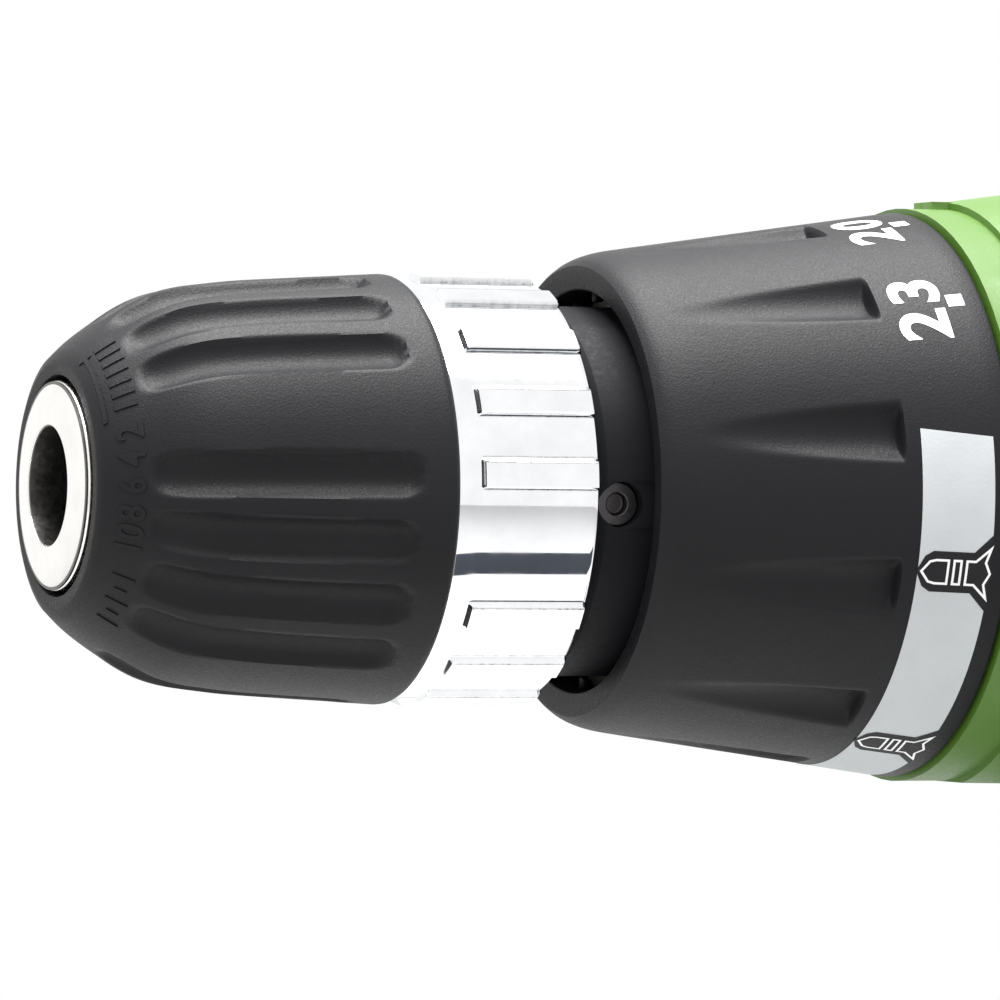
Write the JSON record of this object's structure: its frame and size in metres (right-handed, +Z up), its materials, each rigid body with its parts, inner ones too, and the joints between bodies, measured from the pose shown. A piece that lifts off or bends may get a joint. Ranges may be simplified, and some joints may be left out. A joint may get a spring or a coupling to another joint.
{
  "type": "cordless drill",
  "caption": "Cordless drill with a keyless chuck, a torque clutch collar, a planetary gearbox, a pistol grip and a slide-off battery.",
  "frame": {"origin": "under the middle of the tool, on the battery's flat bottom", "axes": "+X towards the chuck's nose, +Y to the tool's left, +Z up from the battery to the barrel"},
  "size_m": [0.1948, 0.0782, 0.2165],
  "materials": {
    "black_plastic": "fine grained, matt",
    "green_plastic": "fine grained, satin",
    "grip_rubber": "matt",
    "chrome": "polished plate",
    "steel": "machined",
    "dark_steel": "blackened",
    "sintered_steel": "sintered",
    "motor_steel": "zinc plated",
    "die_cast": "as cast",
    "copper": "bare copper",
    "brass": "bright",
    "ferrite": "ferrite",
    "nylon": "natural nylon",
    "red_plastic": "satin",
    "cell_wrap": "heat-shrink wrap",
    "lens": "clear"
  },
  "bodies": {
    "housing": {"housing_left": "green_plastic", "housing_right": "green_plastic", "grip_left": "grip_rubber", "grip_right": "grip_rubber", "rear_cap": "black_plastic", "housing_screws": "dark_steel", "lamp_lens": "lens", "bearing_outer_race": "steel", "gearbox_nose": "black_plastic", "nose_screws": "copper", "gearbox_housing": "die_cast", "gearbox_cover": "die_cast", "gearbox_screws": "steel", "ring_gear_output": "sintered_steel", "ring_gear_input": "sintered_steel", "clutch_balls": "steel", "clutch_washer": "steel", "clutch_spring": "steel", "motor_can": "motor_steel", "motor_magnets": "ferrite", "motor_endbell": "black_plastic", "motor_brushes": "ferrite", "switch_body": "black_plastic", "power_leads": "red_plastic", "terminal_block": "black_plastic", "terminal_blades": "copper"},
    "spindle": {"spindle": "steel", "bearing_inner_race": "steel", "chuck_body": "steel", "chuck_rear_ring": "chrome", "chuck_screw": "dark_steel"},
    "sleeve": {"chuck_sleeve": "black_plastic", "chuck_nut": "steel"},
    "jaw_1": {"chuck_jaw_1": "steel"},
    "jaw_2": {"chuck_jaw_2": "steel"},
    "jaw_3": {"chuck_jaw_3": "steel"},
    "collar": {"clutch_collar": "black_plastic"},
    "clutch_nut": {"clutch_nut": "nylon"},
    "carrier": {"carrier_input": "sintered_steel"},
    "rotor": {"motor_shaft": "steel", "motor_pinion": "brass", "armature_core": "dark_steel", "armature_windings": "copper", "commutator": "copper", "motor_fan": "black_plastic"},
    "trigger": {"trigger": "black_plastic"},
    "selector": {"direction_selector": "black_plastic"},
    "battery": {"battery_case": "black_plastic", "battery_lid": "black_plastic", "battery_cells": "cell_wrap", "battery_contacts": "copper", "battery_screws": "dark_steel"},
    "button_left": {"battery_button_left": "red_plastic"},
    "button_right": {"battery_button_right": "red_plastic"},
    "planet_input_1": {"planet_input_1": "nylon"},
    "planet_input_2": {"planet_input_2": "nylon"},
    "planet_input_3": {"planet_input_3": "nylon"},
    "planet_output_1": {"planet_output_1": "sintered_steel"},
    "planet_output_2": {"planet_output_2": "sintered_steel"},
    "planet_output_3": {"planet_output_3": "sintered_steel"}
  },
  "joints": [
    {"name": "spindle_turn", "type": "hinge", "parent": "housing", "child": "spindle", "pos_m": [0.053, 0, 0.188], "axis": [1, 0, 0], "continuous": true},
    {"name": "sleeve_turn", "type": "hinge", "parent": "spindle", "child": "sleeve", "pos_m": [0.087, 0, 0.188], "axis": [-1, 0, 0], "range_deg": [0, 3914.25]},
    {"name": "collar_turn", "type": "hinge", "parent": "housing", "child": "collar", "pos_m": [0.037, 0, 0.188], "axis": [1, 0, 0], "range_deg": [-171, 153]},
    {"name": "clutch_nut_slide", "type": "slide", "parent": "housing", "child": "clutch_nut", "axis": [-1, 0, 0], "range_m": [-0.0024, 0.00215], "deforming": ["clutch_spring"]},
    {"name": "carrier_turn", "type": "hinge", "parent": "housing", "child": "carrier", "pos_m": [0.005, 0, 0.188], "axis": [1, 0, 0], "continuous": true},
    {"name": "rotor_turn", "type": "hinge", "parent": "housing", "child": "rotor", "pos_m": [-0.033, 0, 0.188], "axis": [1, 0, 0], "continuous": true},
    {"name": "trigger_pull", "type": "slide", "parent": "housing", "child": "trigger", "axis": [-1, 0, 0], "range_m": [0, 0.007], "stiffness_N_per_m": 1200, "springref_m": -0.004},
    {"name": "selector_slide", "type": "slide", "parent": "housing", "child": "selector", "axis": [0, 1, 0], "range_m": [-0.003, 0.003]},
    {"name": "battery_slide", "type": "slide", "parent": "housing", "child": "battery", "axis": [1, 0, 0], "range_m": [0, 0.09]},
    {"name": "button_left_press", "type": "slide", "parent": "battery", "child": "button_left", "axis": [0, -1, 0], "range_m": [0, 0.002], "stiffness_N_per_m": 1500, "springref_m": -0.001},
    {"name": "button_right_press", "type": "slide", "parent": "battery", "child": "button_right", "axis": [0, 1, 0], "range_m": [0, 0.002], "stiffness_N_per_m": 1500, "springref_m": -0.001},
    {"name": "jaw_1_slide", "type": "slide", "parent": "spindle", "child": "jaw_1", "axis": [0.9636, -0.2672, 0], "range_m": [0, 0.01729]},
    {"name": "planet_output_1_turn", "type": "hinge", "parent": "spindle", "child": "planet_output_1", "pos_m": [0.011, 0.01013, 0.188], "axis": [1, 0, 0], "continuous": true},
    {"name": "planet_input_1_turn", "type": "hinge", "parent": "carrier", "child": "planet_input_1", "pos_m": [-0.001, 0.01013, 0.188], "axis": [1, 0, 0], "continuous": true},
    {"name": "jaw_2_slide", "type": "slide", "parent": "spindle", "child": "jaw_2", "axis": [0.9636, 0.1336, -0.2314], "range_m": [0, 0.01729]},
    {"name": "planet_output_2_turn", "type": "hinge", "parent": "spindle", "child": "planet_output_2", "pos_m": [0.011, -0.00506, 0.19677], "axis": [1, 0, 0], "continuous": true},
    {"name": "planet_input_2_turn", "type": "hinge", "parent": "carrier", "child": "planet_input_2", "pos_m": [-0.001, -0.00506, 0.19677], "axis": [1, 0, 0], "continuous": true},
    {"name": "jaw_3_slide", "type": "slide", "parent": "spindle", "child": "jaw_3", "axis": [0.9636, 0.1336, 0.2314], "range_m": [0, 0.01729]},
    {"name": "planet_output_3_turn", "type": "hinge", "parent": "spindle", "child": "planet_output_3", "pos_m": [0.011, -0.00506, 0.17923], "axis": [1, 0, 0], "continuous": true},
    {"name": "planet_input_3_turn", "type": "hinge", "parent": "carrier", "child": "planet_input_3", "pos_m": [-0.001, -0.00506, 0.17923], "axis": [1, 0, 0], "continuous": true}
  ],
  "couplings": [
    {"joint": "clutch_nut_slide", "follows": "collar_turn", "m_per_rad": 0.00079577},
    {"joint": "carrier_turn", "follows": "spindle_turn", "ratio": 6},
    {"joint": "rotor_turn", "follows": "spindle_turn", "ratio": 36},
    {"joint": "jaw_1_slide", "follows": "sleeve_turn", "m_per_rad": 0.00025306},
    {"joint": "planet_output_1_turn", "follows": "spindle_turn", "ratio": -2.5},
    {"joint": "planet_input_1_turn", "follows": "spindle_turn", "ratio": -15},
    {"joint": "jaw_2_slide", "follows": "sleeve_turn", "m_per_rad": 0.00025306},
    {"joint": "planet_output_2_turn", "follows": "spindle_turn", "ratio": -2.5},
    {"joint": "planet_input_2_turn", "follows": "spindle_turn", "ratio": -15},
    {"joint": "jaw_3_slide", "follows": "sleeve_turn", "m_per_rad": 0.00025306},
    {"joint": "planet_output_3_turn", "follows": "spindle_turn", "ratio": -2.5},
    {"joint": "planet_input_3_turn", "follows": "spindle_turn", "ratio": -15}
  ]
}
